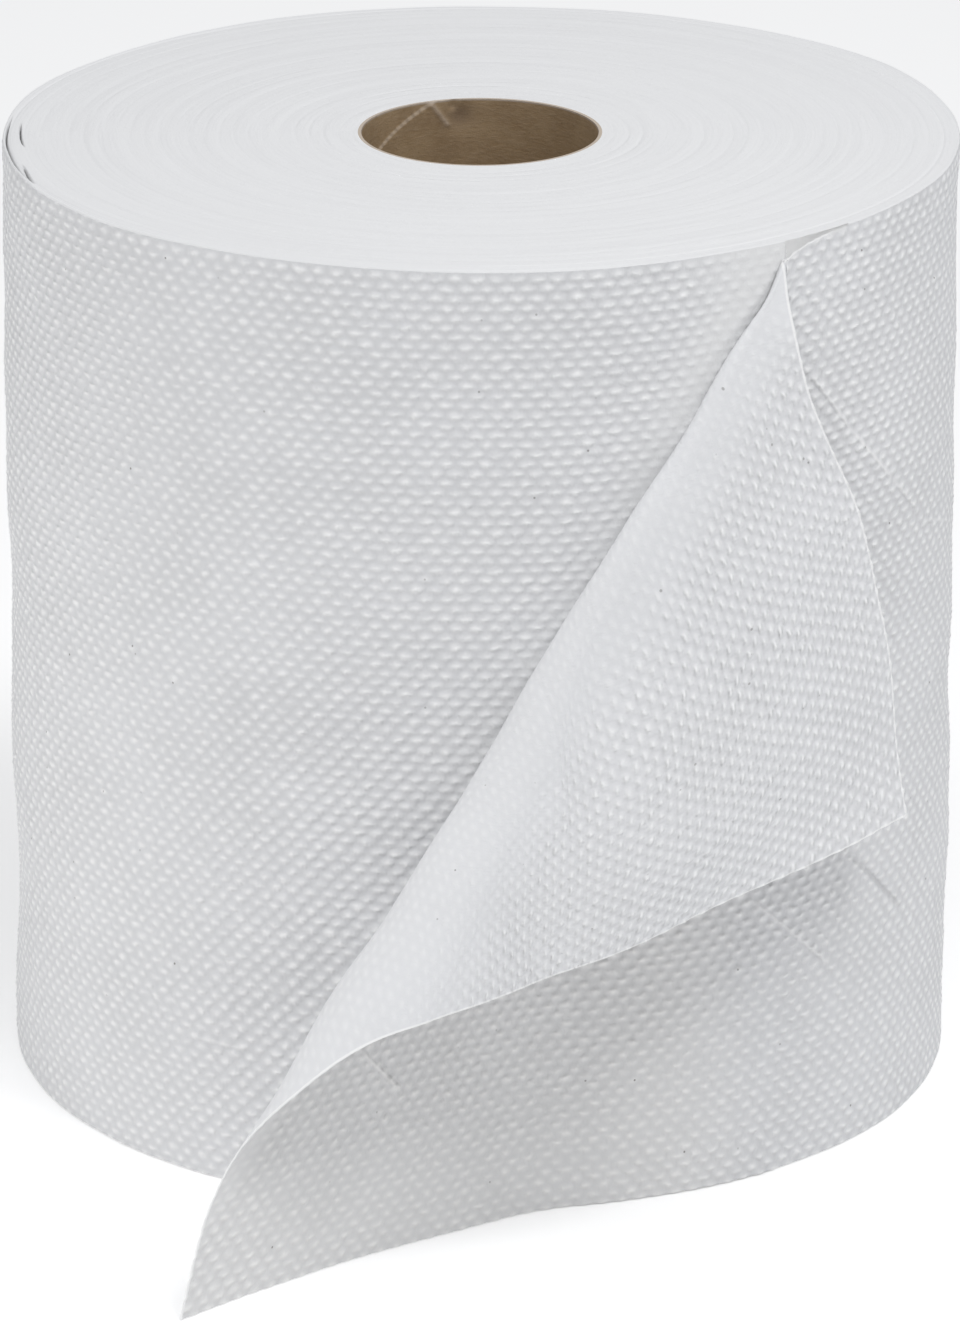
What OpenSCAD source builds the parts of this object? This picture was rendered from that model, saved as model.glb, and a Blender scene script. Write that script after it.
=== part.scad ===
// Paper towel roll: a hardwound roll on a cardboard core, standing on one end, with the
// loose end of the sheet pulled off at the front and its upper corner folded over to the right.
// Z is the axis of the core and 0 is the surface that the roll stands on. The front faces -Y.

/* [Roll] */
// Diameter of the wound roll
roll_d = 198; // [150:1:260]
// Height of the roll, which is the width of the sheet
roll_h = 200; // [160:1:280]
// Thickness of the embossed sheet
sheet_t = 0.3; // [0.2:0.05:0.5]

/* [Turns on the ends] */
// Distance between the turns that show as rings
turn_pitch = 3.1; // [2.5:0.1:6]
// Width of the groove between two such turns
turn_gap = 0.7; // [0.3:0.1:1.2]
// Depth of that groove
turn_depth = 0.25; // [0.1:0.05:0.6]
// Depth of the outermost grooves, where the last turns are slack
slack_depth = 0.9; // [0.3:0.1:2]
// Number of slack turns
slack_turns = 2; // [1:1:4]

/* [Core] */
// Bore of the core
core_bore = 49; // [36:0.5:80]
// Wall of the core
core_wall = 0.8; // [0.5:0.1:2]

/* [Loose end] */
// Angle right of the front at which the top edge of the sheet leaves the roll
apex_angle = 37.8; // [32:0.2:44]
// Angle right of the front at which the foot of the sheet leaves the roll
leave_angle = 12; // [8:0.5:16]
// Length of the bend that turns the sheet off the roll
bend_len = 16; // [12:1:24]
// Angle of that bend
bend_angle = 20; // [12:1:28]
// Length of sheet from the bend to the cut edge
reach = 83; // [65:1:100]
// Angle through which that length curves away from the roll
reach_angle = 12; // [6:1:18]
// How far the sheet leans back over each unit of height, at its cut edge
lean = 0.38; // [0.1:0.02:0.5]
// Direction of that lean, from the right towards the back
lean_angle = 45; // [20:5:70]
// Distance of the loose end's edges from the planes of the roll's two ends
edge_inset = 0.3; // [0.2:0.1:1]

/* [Folded corner] */
// Height on the cut edge at which the fold meets it
fold_foot = 23; // [15:1:40]
// Radius of the fold at its wide lower end
fold_r = 12.4; // [8:0.2:16]
// Power by which the fold widens from its point at the top
fold_growth = 1.8; // [1.2:0.1:2.2]
// Bow of the fold line towards the lower right
fold_bow = 4.5; // [0:0.5:8]
// How far the folded corner slips up along the fold
corner_slip = 9; // [0:1:14]
// Height to which the folded corner lifts off the sheet below it
corner_lift = 9; // [0:1:16]

/* [Hidden] */

roll_r = roll_d / 2;
core_r = core_bore / 2;
core_out_r = core_r + core_wall;
round_fn = 180;
// How far a cutting tube runs past each end, and the smallest size that is divided by
over_run = 1;
tiny = 0.000001;

// The wound body lies half a sheet inside the outer face, so the outer sheet is half sunk in it
body_r = roll_r - sheet_t / 2;

// Spiral of half turns: the two halves have centres half a pitch apart
turn_count = floor((roll_r - core_out_r) / turn_pitch);
rim_share = 0.25;
turn_r0 = roll_r - turn_pitch * (turn_count + rim_share);
blank_r = roll_r + 2 * turn_pitch;

// Flat sheet of the loose end: u runs along the web to the cut edge, v runs up
hug_len = (apex_angle - leave_angle) * PI / 180 * roll_r;
flat_len = hug_len + bend_len + reach;
flat_w = roll_h - 2 * edge_inset;
fold_angle = atan2(flat_w - fold_foot, flat_len);
fold_len = norm([flat_len, flat_w - fold_foot]);
tip_ray = fold_angle - atan2(flat_w, flat_len);

// Start of the loose end, sunk in the body just right of the point where it leaves
start_len = 12;
start_sink = 1;
start_steps = 4;
// Length over which the sheet thins to nothing at the point of the fold
point_len = 8;
// Where along the web the folded corner lifts most, and over what length
lift_place = 25;
lift_len = 45;
lift_ramp = 60;
// Lengths over which the slip and the bow fade in on the folded corner
slip_ramp = 90;
bow_ramp = 90;
bow_return = 2.2;
// Rows of faces from the point of the fold to the edge of the sheet
rows = 26;
row_power = 1.15;

function soft(x) = let (c = min(max(x, 0), 1)) c * c * (3 - 2 * c);

// Place and heading after an arc of given length and turn, in plan, going left and outward
function arc_end(p, turn, len, s) =
    let (h = p[2] + turn * s / len, k = len / (turn * PI / 180))
    [p[0] - k * (sin(h) - sin(p[2])), p[1] + k * (cos(h) - cos(p[2])), h];

function on_roll(a) = [roll_r * sin(a), -roll_r * cos(a), a];

bend_start = on_roll(leave_angle);
bend_end = arc_end(bend_start, bend_angle, bend_len, bend_len);

// Plan curve of the sheet's outer face: x, y and heading at length u from the fold's point
function plan(u) =
    u <= hug_len ? on_roll(apex_angle - u / roll_r * 180 / PI)
    : u <= hug_len + bend_len ? arc_end(bend_start, bend_angle, bend_len, u - hug_len)
    : arc_end(bend_end, reach_angle, reach, u - hug_len - bend_len);

// Radius of the fold at distance t from its point
function fold_radius(t) = max(fold_r * pow(max(t, 0) / fold_len, fold_growth), tiny);

// Place in space of the flat point [u, v], at depth o below the outer face
function sheet_point(u, v, o) =
    let (
        t = u * cos(fold_angle) - (v - flat_w) * sin(fold_angle),
        d = u * sin(fold_angle) + (v - flat_w) * cos(fold_angle),
        bow = fold_bow * sin(180 * min(max(t / fold_len, 0), 1)),
        r = fold_radius(t),
        turn = min(max((d + bow) / r * 180 / PI, 0), 180),
        over = max(d + bow - PI * r, 0),
        side = d + bow > 0 ? (r + o) * sin(turn) - over - bow * (1 - bow_return * soft(over / bow_ramp)) : d,
        along = t - corner_slip * soft(over / slip_ramp),
        bu = along * cos(fold_angle) + side * sin(fold_angle),
        bv = flat_w - along * sin(fold_angle) + side * cos(fold_angle),
        lift = corner_lift * soft(over / lift_ramp) * exp(-pow((bu - lift_place) / lift_len, 2)),
        out = r - (r + o) * cos(turn) + lift,
        p = plan(bu),
        back = lean * bv * soft((bu - hug_len) / (flat_len - hug_len))
    )
    [
        p[0] + out * sin(p[2]) + back * cos(lean_angle),
        p[1] - out * cos(p[2]) + back * sin(lean_angle),
        bv + edge_inset
    ];

// Rays from the fold's point to the edge of the flat sheet, by angle from the fold line:
// from straight down to the foot of the cut edge, close together over the fold, then to the corner
ray_down = fold_angle - 90;
before_tip = 3;
fold_spread = 16;
function steps(a, b, n) = [for (i = [1 : n]) a + (b - a) * i / n];
ray_angles = concat(
    [ray_down],
    steps(ray_down, tip_ray - before_tip, 12),
    steps(tip_ray - before_tip, tip_ray, 4),
    steps(tip_ray, tip_ray + fold_spread, 22),
    steps(tip_ray + fold_spread, fold_angle, 16)
);

// Flat point at share f of the way along the ray at angle b
function ray_point(b, f) =
    let (
        a = fold_angle - b,
        to_foot = flat_w / max(sin(a), tiny),
        to_cut = flat_len / max(cos(a), tiny),
        l = min(to_foot, to_cut) * f
    )
    [l * cos(a), flat_w - l * sin(a)];

// Columns of flat points with the depth of their outer face: the sunk start, then the rays
start_columns = [
    for (i = [0 : start_steps - 1])
    let (s = 1 - i / start_steps)
    [for (j = [0 : rows]) [-start_len * s, flat_w * (1 - pow(j / rows, row_power)), start_sink * s]]
];
ray_columns = [
    for (b = ray_angles)
    [for (j = [0 : rows]) let (q = ray_point(b, pow(j / rows, row_power))) [q[0], q[1], 0]]
];
columns = concat(start_columns, ray_columns);
last = len(columns) - 1;
layer = len(columns) * (rows + 1);

function sheet_depth(q) = sheet_t * min(1, norm([q[0], q[1] - flat_w]) / point_len);
outer_points = [for (c = columns) for (q = c) sheet_point(q[0], q[1], q[2])];
inner_points = [for (c = columns) for (q = c) sheet_point(q[0], q[1], q[2] + sheet_depth(q))];

// Number of a point in the outer layer, with all the rays' first points as one
point_at_apex = start_steps * (rows + 1);
function id(i, j) = j == 0 && i >= start_steps ? point_at_apex : i * (rows + 1) + j;
function id_in(i, j) = id(i, j) == point_at_apex ? point_at_apex : layer + id(i, j);
function fan(i, j) = j == 0 && i >= start_steps;

outer_faces = [
    for (i = [0 : last - 1]) for (j = [0 : rows - 1])
    for (f = [[id(i, j), id(i + 1, j + 1), id(i, j + 1)], [id(i, j), id(i + 1, j), id(i + 1, j + 1)]])
    if (!(fan(i, j) && f[1] == id(i + 1, j))) f
];
inner_faces = [
    for (i = [0 : last - 1]) for (j = [0 : rows - 1])
    for (f = [[id_in(i, j), id_in(i, j + 1), id_in(i + 1, j + 1)], [id_in(i, j), id_in(i + 1, j + 1), id_in(i + 1, j)]])
    if (!(fan(i, j) && f[2] == id_in(i + 1, j))) f
];
function wall(a, b, c, d) = [for (f = [[a, b, c], [a, c, d]]) if (f[0] != f[1] && f[1] != f[2] && f[0] != f[2]) f];
edge_faces = [
    for (j = [0 : rows - 1])
    for (f = wall(id(0, j), id(0, j + 1), id_in(0, j + 1), id_in(0, j))) f,
    for (j = [0 : rows - 1])
    for (f = wall(id(last, j + 1), id(last, j), id_in(last, j), id_in(last, j + 1))) f,
    for (i = [0 : last - 1])
    for (f = wall(id(i, rows), id(i + 1, rows), id_in(i + 1, rows), id_in(i, rows))) f,
    for (i = [0 : start_steps - 1])
    for (f = wall(id(i + 1, 0), id(i, 0), id_in(i, 0), id_in(i + 1, 0))) f
];

// Half of the wound body as a section, with the turns as grooves on both ends
function groove(r, z, s, depth) = [[r - s * turn_gap / 2, z], [r, z - depth], [r + s * turn_gap / 2, z]];
module half_section(shift) {
    function depth_at(k) = k > turn_count - slack_turns ? slack_depth : turn_depth;
    rings = [for (k = [0 : turn_count]) [turn_r0 + turn_pitch * (k + shift), depth_at(k)]];
    top = [for (g = rings) for (p = groove(g[0], roll_h, 1, g[1])) p];
    bottom = [for (k = [turn_count : -1 : 0]) for (p = groove(rings[k][0], 0, -1, -turn_depth)) p];
    polygon(concat([[0, roll_h]], top, [[blank_r, roll_h], [blank_r, 0]], bottom, [[0, 0]]));
}

module through(r) {
    translate([0, 0, -over_run]) cylinder(r = r, h = roll_h + 2 * over_run, $fn = round_fn);
}

module wound_body() {
    difference() {
        intersection() {
            union() {
                rotate_extrude(angle = 180, $fn = round_fn) half_section(0);
                translate([turn_pitch / 2, 0, 0])
                    rotate([0, 0, 180])
                        rotate_extrude(angle = 180, $fn = round_fn) half_section(0.5);
            }
            cylinder(r = body_r, h = roll_h, $fn = round_fn);
        }
        through(core_out_r);
    }
}

module loose_end() {
    polyhedron(points = concat(outer_points, inner_points), faces = concat(outer_faces, inner_faces, edge_faces));
}

module core() {
    color("peru")
        difference() {
            cylinder(r = core_out_r, h = roll_h, $fn = round_fn);
            through(core_r);
        }
}

module towel() {
    color("whitesmoke")
        union() {
            wound_body();
            loose_end();
        }
}

core();
towel();
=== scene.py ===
import math

import bpy
import numpy as np
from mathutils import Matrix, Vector


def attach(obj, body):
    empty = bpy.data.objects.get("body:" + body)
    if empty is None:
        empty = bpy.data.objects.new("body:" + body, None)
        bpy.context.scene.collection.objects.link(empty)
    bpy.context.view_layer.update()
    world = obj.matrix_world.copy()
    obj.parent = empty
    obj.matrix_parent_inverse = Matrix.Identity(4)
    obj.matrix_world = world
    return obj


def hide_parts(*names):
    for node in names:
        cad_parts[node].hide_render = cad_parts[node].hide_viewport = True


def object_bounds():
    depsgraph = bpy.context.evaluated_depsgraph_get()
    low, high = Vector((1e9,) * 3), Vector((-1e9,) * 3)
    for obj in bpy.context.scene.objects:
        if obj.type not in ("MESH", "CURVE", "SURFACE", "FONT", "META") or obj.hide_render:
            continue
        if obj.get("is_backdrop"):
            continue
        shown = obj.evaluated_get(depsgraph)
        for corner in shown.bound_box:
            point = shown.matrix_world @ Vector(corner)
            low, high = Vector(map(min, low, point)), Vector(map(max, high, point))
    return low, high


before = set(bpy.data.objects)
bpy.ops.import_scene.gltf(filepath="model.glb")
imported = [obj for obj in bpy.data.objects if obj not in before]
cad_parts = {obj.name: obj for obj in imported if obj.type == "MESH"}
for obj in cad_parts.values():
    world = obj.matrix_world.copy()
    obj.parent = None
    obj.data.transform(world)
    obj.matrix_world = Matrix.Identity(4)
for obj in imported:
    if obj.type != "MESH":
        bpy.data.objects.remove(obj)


def write_sizes(which, sizes):
    """Keeps the object's box, as plain numbers."""
    low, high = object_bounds()
    sizes[which] = [[float(x) for x in low], [float(x) for x in high]]


sizes = {}
write_sizes("frame", sizes)

# Sizes in millimetres. The roll's are the part's own; the loose end's fold is shaped more finely here
MM = 0.001
AROUND = 2 * math.pi
ROLL_R = 99.0
ROLL_H = 200.0
SHEET_T = 0.3
TURN_PITCH = 3.1
TURN_GAP = 0.7
TURN_DEPTH = 0.25
SLACK_DEPTH = 0.9
SLACK_TURNS = 2
CORE_R = 24.5
CORE_OUT_R = 25.3
# Where the loose end leaves the roll, at its top edge and below, and its course from there to the cut edge
APEX = math.radians(37.8)
LEAVE = math.radians(12)
BEND_LEN = 16.0
BEND = math.radians(20)
REACH = 83.0
REACH_TURN = math.radians(12)
LEAN = 0.38
LEAN_DIR = math.radians(45)
INSET = 0.3
# Foot of the fold on the cut edge, and the fold's radius there
FOLD_FOOT = 23.0
FOLD_R = 15.0
# At even steps from the fold's point to its foot: the line's bow, and the shift of the folded corner.
# Both were fitted to the photo's fold line and to the folded corner's edges
BOWS = [-0.5, -0.47, 3.09, 6.23, 10.29, 12.17, 11.62, 7.80, 3.48, 1.55, 0.25, 2.99, 3.99]
SHIFTS = [-11.9, 2.97, 17.03, 24.26, 21.24, 17.69, 13.98]
# The folded corner slips up along the fold, and lifts off the sheet below it
CORNER_SLIP = 8.67
SLIP_RAMP = 90.0
CORNER_LIFT = 12.0
LIFT_PLACE = 60.4
LIFT_LEN = 55.9
LIFT_RAMP = 60.0
EDGE_LIFT = 0.7
EDGE_LIFT_W = 7.0
# It spans the bend of the sheet below, so it follows that sheet's plan averaged over this reach
FREE_RAMP = 25.0
FREE_OUT = 1.9
FREE_REACH = 32
# The sheet hangs a little below the rim at the fold's point
SAG = 6.84
SAG_LEN = 94.3
# At the point itself the edge turns up again, and on the roll it soon runs out into the rim
SAG_TIP = 3.3
SAG_TIP_LEN = 4.5
SAG_ROLL = 5.5
HANG_END = 32.0
HANG_FADE = 12.0

HUG = (APEX - LEAVE) * ROLL_R
FLAT_L = HUG + BEND_LEN + REACH
FLAT_W = ROLL_H - 2 * INSET
FOLD_A = math.atan2(FLAT_W - FOLD_FOOT, FLAT_L)
FOLD_L = math.hypot(FLAT_L, FLAT_W - FOLD_FOOT)
TURN_COUNT = math.floor((ROLL_R - CORE_OUT_R) / TURN_PITCH)
TURN_R0 = ROLL_R - TURN_PITCH * (TURN_COUNT + 0.25)
# Seam of the core's spiral ply: its fall in a full turn, and its angle at the top
SEAM_TURN = 75.6
SEAM_ANGLE = -156.3
# Length of one degree round the bore
BORE_DEGREE = 0.4276
# Above this height the bore shows, so its seam is drawn and its rows are closer
BORE_SEEN = 150
# Marks by the bore's rim: a crease and a notch, from one angle and height to another, and a dent
CORE_CREASE = (-155.2, 199.6, -163.6, 194.9)
CORE_NOTCH = (-167.1, 200.4, -166.5, 198.6)
DENT_ANGLE = -170.0
DENT_H = 196.5
DENT_WIDE = 6.5
DENT_TALL = 2.6

# A place on the flat sheet is u, v in millimetres. u runs along the sheet: it is 0 at the fold's point,
# grows to the cut edge and is negative back round the roll. v runs up from the lower edge

# Emboss: raised dots in a staggered lattice, wider than tall
DOT_U = 4.0
DOT_V = 4.0404
DOT_A = 1.35
DOT_B = 0.82
DOT_H = 0.40
# Half width, half height and relief of the sharper dots in the bump, and relief of the crepe and fibres
FINE_DOT_A = 1.25
FINE_DOT_B = 0.72
FINE_DOT_H = 0.42
CREPE_H = 0.12
FIBRE_H = 0.10
# How far single dots stray from the lattice
DOT_STRAY_U = 0.25
DOT_STRAY_V = 0.16


def soft(x):
    """A smooth step from 0 to 1."""
    c = np.clip(x, 0.0, 1.0)
    return c * c * (3 - 2 * c)


def chance(i, j, k):
    """A fixed share from 0 to 1 for each cell."""
    s = np.sin(i * 12.9898 + j * 78.233 + k * 37.719) * 43758.5453
    return s - np.floor(s)


def dots(u, v):
    """Height of the emboss at the flat point, from 0 to about 1."""
    total = 0.0
    for k, (su, sv) in enumerate(((0.0, 0.0), (DOT_U / 2, DOT_V / 2))):
        i = np.round((u - su) / DOT_U)
        j = np.round((v - sv) / DOT_V)
        du = u - su - i * DOT_U + DOT_STRAY_U * (chance(i, j, k + 5) - 0.5)
        dv = v - sv - j * DOT_V + DOT_STRAY_V * (chance(i, j, k + 9) - 0.5)
        strength = 0.72 + 0.5 * chance(i, j, k)
        total = total + strength * np.exp(-((du / DOT_A) ** 2) - (dv / DOT_B) ** 2)
    return total


rng = np.random.default_rng(5)
SWELLS = []
for length, height in ((95, 0.16), (70, 0.12), (52, 0.10), (38, 0.07), (27, 0.045), (19, 0.03)):
    for _ in range(3):
        a = rng.uniform(0, AROUND)
        k = AROUND / (length * rng.uniform(0.85, 1.15))
        SWELLS.append((k * math.cos(a), k * math.sin(a), rng.uniform(0, AROUND), height))


def swell(u, v):
    """Slow unevenness of the wound sheet."""
    total = 0.0
    for ku, kv, p, h in SWELLS:
        total = total + h * np.sin(ku * u + kv * v + p)
    return total


# Creases on the flat sheet: start, end, half width and height in millimetres
CREASES = [
    ((-6.9, 170.4), (-19.2, 156.0), 0.8, 0.22),
    ((-19.2, 156.0), (-34.0, 141.4), 0.9, 0.26),
    ((-34.0, 141.4), (-45.9, 131.5), 0.8, 0.20),
    ((-46.0, 129.3), (-68.9, 121.9), 0.8, 0.12),
    ((-19.7, 65.1), (-44.5, 43.8), 0.9, -0.24),
    ((8.3, 62.3), (-15.5, 41.0), 0.8, 0.20),
    ((107.2, 44.4), (92.1, 33.6), 0.8, 0.26),
    ((106.2, 51.9), (95.0, 46.4), 0.7, 0.20),
    ((-492.9, 30.0), (-507.8, 30.0), 0.8, 0.14),
]
# Darker fibres that stand out on the loose end
SPECKS = [(20.2, 181.0), (35.6, 187.0), (42.5, 192.6), (52.9, 152.6), (70.9, 167.8), (82.8, 164.2),
          (94.3, 149.5), (119.5, 168.2)]
# Gaps between the slack outer turns on the top, cut in and painted with shade: angles, distances in from
# the rim, depth, half width
GAPS = [
    (263.0, 290.5, 0.75, 0.75, 1.6, 0.16),
    (266.5, 276.5, 3.2, 4.1, 1.6, 0.16),
    (285.0, 292.5, 2.2, 0.9, 1.2, 0.16),
]


def creased(u, v):
    """Ridges and valleys of the creases, in millimetres."""
    total = 0.0
    for a, b, width, height in CREASES:
        du, dv = b[0] - a[0], b[1] - a[1]
        along = np.clip(((u - a[0]) * du + (v - a[1]) * dv) / (du * du + dv * dv), 0, 1)
        far = np.hypot(u - a[0] - along * du, v - a[1] - along * dv)
        total = total + height * soft(1 - far / (width + 0.8)) * np.clip(8 * along * (1 - along), 0, 1)
    return total


# Meshes
def new_mesh(name, points, faces, face_slots, materials, loop_normals, attributes):
    """A mesh object from points in millimetres, with its own normals and point attributes."""
    mesh = bpy.data.meshes.new(name)
    mesh.from_pydata((points * MM).tolist(), [], faces)
    for m in materials:
        mesh.materials.append(m)
    mesh.polygons.foreach_set("material_index", np.asarray(face_slots, np.int32))
    mesh.polygons.foreach_set("use_smooth", np.ones(len(faces), bool))
    for label, values in attributes.items():
        layer = mesh.attributes.new(label, "FLOAT_VECTOR", "POINT")
        layer.data.foreach_set("vector", np.asarray(values, np.float32).ravel())
    mesh.update()
    mesh.normals_split_custom_set(loop_normals)
    obj = bpy.data.objects.new(name, mesh)
    bpy.context.scene.collection.objects.link(obj)
    return obj


def unit(n):
    """Vectors scaled to a length of one."""
    return n / np.maximum(np.linalg.norm(n, axis=-1, keepdims=True), 1e-12)


# Colours of the sheet's face, as linear red, green and blue
FACE_LOW = (0.69, 0.695, 0.708, 1)
FACE_HIGH = (0.73, 0.736, 0.752, 1)
FACE_FIBRE = (0.70, 0.705, 0.72, 1)
PRESSED_LOOSE = (0.95, 0.957, 0.975, 1)
PRESSED_ROLL = (0.965, 0.96, 0.94, 1)
# Dot tops: partly paler paper, partly painted shade in the hollows between the dots
DOT_TOP_LIT_PAPER = (0.955, 0.957, 0.96, 1)
# Painted highlight on the creases' ridges and painted shade in their valleys
RIDGE_HIGHLIGHT = (0.97, 0.97, 0.97, 1)
VALLEY_SHADE = (0.52, 0.52, 0.53, 1)
SPECK = (0.16, 0.14, 0.13, 1)
INNER_FACE = (0.96, 0.967, 0.985, 1)
# Painted warm bounce light on the unfolded loose end
WEB_BOUNCE_TINT = (1.04, 1.032, 1.015)
# Painted highlight along the cut edges
CUT_EDGE_HIGHLIGHT = (0.985, 0.985, 0.985, 1)
# Colours of the wound edges on the roll's two ends
ENDS_LOW = (0.872, 0.874, 0.882, 1)
ENDS_HIGH = (0.892, 0.895, 0.902, 1)
ENDS_LINE = (0.68, 0.685, 0.70, 1)
# Painted shade in the gaps between the slack turns
ENDS_GAP_SHADE = (0.10, 0.10, 0.10, 1)
# Colours of the core's board
BOARD_LOW = (0.325, 0.225, 0.128, 1)
BOARD_HIGH = (0.415, 0.298, 0.175, 1)
BOARD_FIBRE = (0.52, 0.40, 0.28, 1)
BOARD_FLECK = (0.16, 0.11, 0.07, 1)
BOARD_SEAM = (0.62, 0.52, 0.41, 1)
BOARD_DENT = (0.20, 0.14, 0.095, 1)
BOARD_CREASE = (0.60, 0.50, 0.40, 1)
BOARD_RIM = (0.55, 0.47, 0.39, 1)


# Node helpers
def material(name):
    """A new material with its tree and its surface node."""
    m = bpy.data.materials.new(name)
    m.use_nodes = True
    return m, m.node_tree, m.node_tree.nodes["Principled BSDF"]


def wire(tree, target, value):
    """Links an output to a socket, or sets the socket to a value."""
    if hasattr(value, "is_output"):
        tree.links.new(value, target)
    elif value is not None:
        target.default_value = value


def math_node(tree, op, a, b=None, c=None, clamp=False):
    """One sum, product or other function of numbers."""
    n = tree.nodes.new("ShaderNodeMath")
    n.operation = op
    n.use_clamp = clamp
    for k, x in enumerate((a, b, c)):
        if x is not None:
            wire(tree, n.inputs[k], x)
    return n.outputs[0]


def vector_node(tree, op, a, b=None, scale=None):
    """One function of vectors."""
    n = tree.nodes.new("ShaderNodeVectorMath")
    n.operation = op
    wire(tree, n.inputs[0], a)
    if b is not None:
        wire(tree, n.inputs[1], b)
    if scale is not None:
        wire(tree, n.inputs["Scale"], scale)
    return n.outputs["Value"] if op in ("LENGTH", "DOT_PRODUCT", "DISTANCE") else n.outputs["Vector"]


def split(tree, vector):
    """The three numbers of a vector."""
    n = tree.nodes.new("ShaderNodeSeparateXYZ")
    wire(tree, n.inputs[0], vector)
    return n.outputs


def joined(tree, x, y, z):
    """A vector from three numbers."""
    n = tree.nodes.new("ShaderNodeCombineXYZ")
    for k, value in enumerate((x, y, z)):
        wire(tree, n.inputs[k], value)
    return n.outputs[0]


def noise(tree, vector, scale, detail=2.0, rough=0.5):
    """Soft noise from 0 to 1."""
    n = tree.nodes.new("ShaderNodeTexNoise")
    wire(tree, n.inputs["Vector"], vector)
    n.inputs["Scale"].default_value = scale
    n.inputs["Detail"].default_value = detail
    n.inputs["Roughness"].default_value = rough
    return n.outputs["Fac"]


def remap(tree, x, a, b, c, d, smooth=False):
    """Moves x from the range a to b into the range c to d."""
    n = tree.nodes.new("ShaderNodeMapRange")
    n.interpolation_type = "SMOOTHSTEP" if smooth else "LINEAR"
    n.clamp = True
    for k, value in enumerate((x, a, b, c, d)):
        wire(tree, n.inputs[k], value)
    return n.outputs[0]


def mixed(tree, share, a, b):
    """Colour a, with a share of colour b."""
    n = tree.nodes.new("ShaderNodeMix")
    n.data_type = "RGBA"
    wire(tree, n.inputs[0], share)
    wire(tree, n.inputs[6], a)
    wire(tree, n.inputs[7], b)
    return n.outputs[2]


def attribute(tree, name):
    """The three numbers that the mesh holds under a name."""
    n = tree.nodes.new("ShaderNodeAttribute")
    n.attribute_type = "GEOMETRY"
    n.attribute_name = name
    return n.outputs["Vector"]


def bump(tree, height):
    """A bump from a height in millimetres."""
    n = tree.nodes.new("ShaderNodeBump")
    n.inputs["Strength"].default_value = 1.0
    n.inputs["Distance"].default_value = MM
    wire(tree, n.inputs["Height"], height)
    return n.outputs[0]


def crease_height(tree, flat, a, b, width, height):
    """A straight crease from a to b on the flat sheet, in millimetres."""
    ab = (b[0] - a[0], b[1] - a[1], 0.0)
    length2 = ab[0] ** 2 + ab[1] ** 2
    rel = vector_node(tree, "SUBTRACT", flat, (a[0], a[1], 0.0))
    t = math_node(tree, "DIVIDE", vector_node(tree, "DOT_PRODUCT", rel, ab), length2, clamp=True)
    near = vector_node(tree, "SCALE", ab, scale=t)
    far = vector_node(tree, "DISTANCE", rel, near)
    fall = remap(tree, far, 0.0, width, 1.0, 0.0, smooth=True)
    ends = math_node(tree, "MULTIPLY", t, math_node(tree, "SUBTRACT", 1.0, t))
    ends = math_node(tree, "MULTIPLY", ends, 8.0, clamp=True)
    return math_node(tree, "MULTIPLY", math_node(tree, "MULTIPLY", fall, ends), height)


def spot(tree, flat, place, radius):
    """Share of a small round spot on the flat sheet."""
    far = vector_node(tree, "DISTANCE", flat, (place[0], place[1], 0.0))
    return remap(tree, far, 0.55 * radius, radius, 1.0, 0.0, smooth=True)


def all_creases(tree, flat):
    """Height of the creases, in millimetres."""
    total = None
    for a, b, width, height in CREASES:
        one = crease_height(tree, flat, a, b, width, height)
        total = one if total is None else math_node(tree, "ADD", total, one)
    return total


def fine_dots(tree, flat, u, v, amount):
    """Sharper dots on top of the ones in the mesh, a little out of line and unevenly worn."""
    off_u = remap(tree, noise(tree, flat, 0.31, 1.0), 0.25, 0.75, -0.42, 0.42)
    elsewhere = vector_node(tree, "ADD", flat, (700.0, 90.0, 0.0))
    off_v = remap(tree, noise(tree, elsewhere, 0.31, 1.0), 0.25, 0.75, -0.3, 0.3)
    line_u = math_node(tree, "ADD", u, off_u)
    line_v = math_node(tree, "ADD", v, off_v)
    total = None
    for su, sv in ((0.0, 0.0), (DOT_U / 2, DOT_V / 2)):
        du = math_node(tree, "WRAP", math_node(tree, "SUBTRACT", line_u, su), DOT_U / 2, -DOT_U / 2)
        dv = math_node(tree, "WRAP", math_node(tree, "SUBTRACT", line_v, sv), DOT_V / 2, -DOT_V / 2)
        qu = math_node(tree, "ABSOLUTE", math_node(tree, "DIVIDE", du, FINE_DOT_A))
        qu = math_node(tree, "POWER", qu, 2.0)
        qv = math_node(tree, "ABSOLUTE", math_node(tree, "DIVIDE", dv, FINE_DOT_B))
        qv = math_node(tree, "POWER", qv, 2.0)
        g = math_node(tree, "EXPONENT", math_node(tree, "MULTIPLY", math_node(tree, "ADD", qu, qv), -1.0))
        total = g if total is None else math_node(tree, "ADD", total, g)
    worn = remap(tree, noise(tree, flat, 0.24, 3.0, 0.6), 0.32, 0.68, 0.4, 1.2)
    return math_node(tree, "MULTIPLY", total, math_node(tree, "MULTIPLY", worn, amount))


def specks(tree, flat):
    """Share of the specks of darker fibre: small ones all over, and the listed ones."""
    cells = tree.nodes.new("ShaderNodeTexVoronoi")
    cells.voronoi_dimensions = "2D"
    cells.inputs["Scale"].default_value = 0.09
    wire(tree, cells.inputs["Vector"], flat)
    speck = remap(tree, cells.outputs["Distance"], 0.013, 0.027, 1.0, 0.0, smooth=True)
    which = split(tree, cells.outputs["Color"])[0]
    speck = math_node(tree, "MULTIPLY", speck, remap(tree, which, 0.78, 0.97, 0.0, 0.75))
    for place in SPECKS:
        single = math_node(tree, "MULTIPLY", spot(tree, flat, place, 0.4), 0.6)
        speck = math_node(tree, "MAXIMUM", speck, single)
    return speck


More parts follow.
